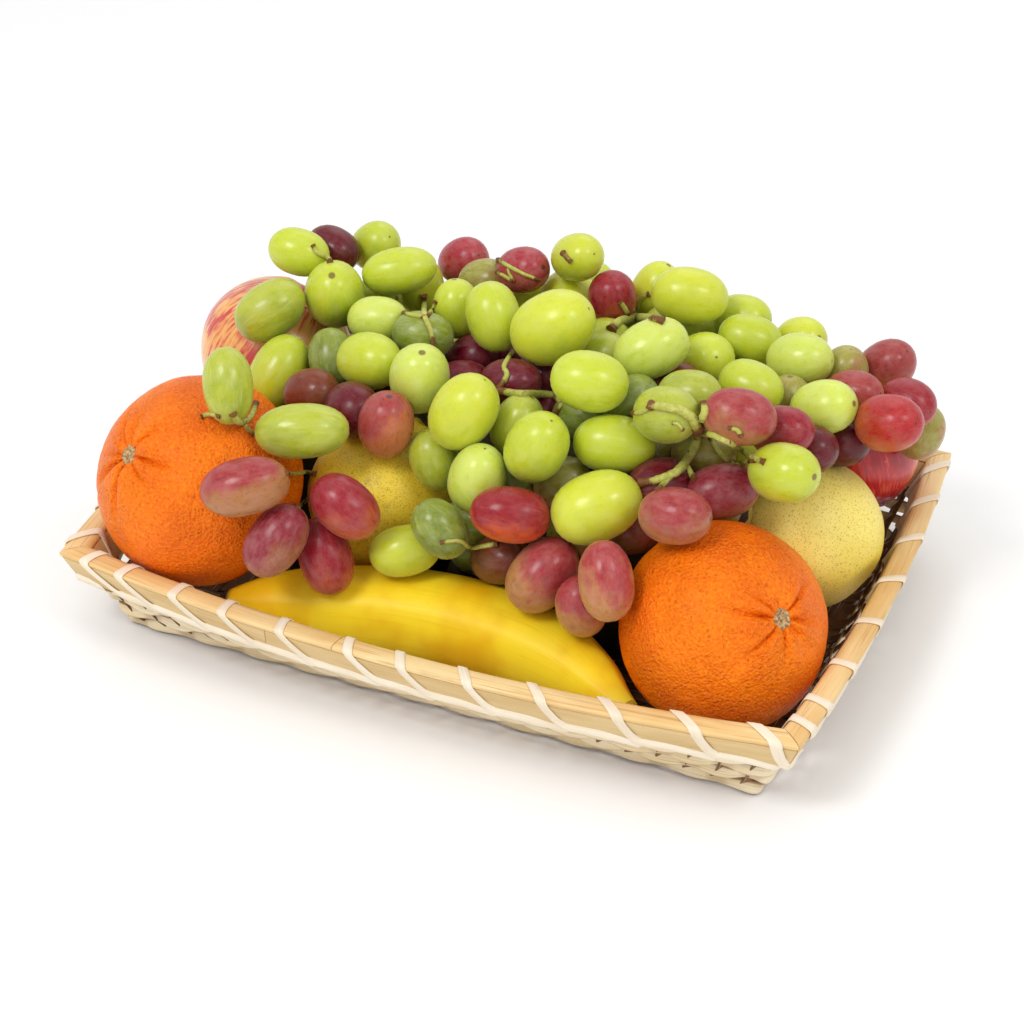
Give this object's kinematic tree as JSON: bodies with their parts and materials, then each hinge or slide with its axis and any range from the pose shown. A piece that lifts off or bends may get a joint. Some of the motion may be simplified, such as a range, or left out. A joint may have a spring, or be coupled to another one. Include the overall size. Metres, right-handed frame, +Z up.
{
  "type": "fruit basket",
  "caption": "Shallow rectangular woven bamboo tray with a bound rim, filled with oranges, apples, pears, a banana and a draped heap of green and red grapes.",
  "frame": {"origin": "on the ground under the middle of the tray", "axes": "+X to the right along the long front side, +Y to the back, +Z up"},
  "size_m": [0.3425, 0.2523, 0.1413],
  "materials": {
    "woven_bamboo": "satin",
    "bamboo_band": "satin",
    "lashing_strip": "satin",
    "orange_peel": "satin",
    "pear_skin": "satin",
    "apple_skin": "gloss",
    "banana_skin": "satin",
    "grape_skin": "gloss"
  },
  "bodies": {
    "root": {"apple_left": "apple_skin", "apple_right": "apple_skin", "banana": "banana_skin", "grapes": "grape_skin", "inner_band_back": "bamboo_band", "inner_band_front": "bamboo_band", "inner_band_left": "bamboo_band", "inner_band_right": "bamboo_band", "orange_left": "orange_peel", "orange_right": "orange_peel", "outer_band_back": "bamboo_band", "outer_band_front": "bamboo_band", "outer_band_left": "bamboo_band", "outer_band_right": "bamboo_band", "pear_left": "pear_skin", "pear_right": "pear_skin", "rim_lashing": "lashing_strip", "top_strip_back": "bamboo_band", "top_strip_front": "bamboo_band", "top_strip_left": "bamboo_band", "top_strip_right": "bamboo_band", "woven_tray": "woven_bamboo"}
  },
  "joints": []
}
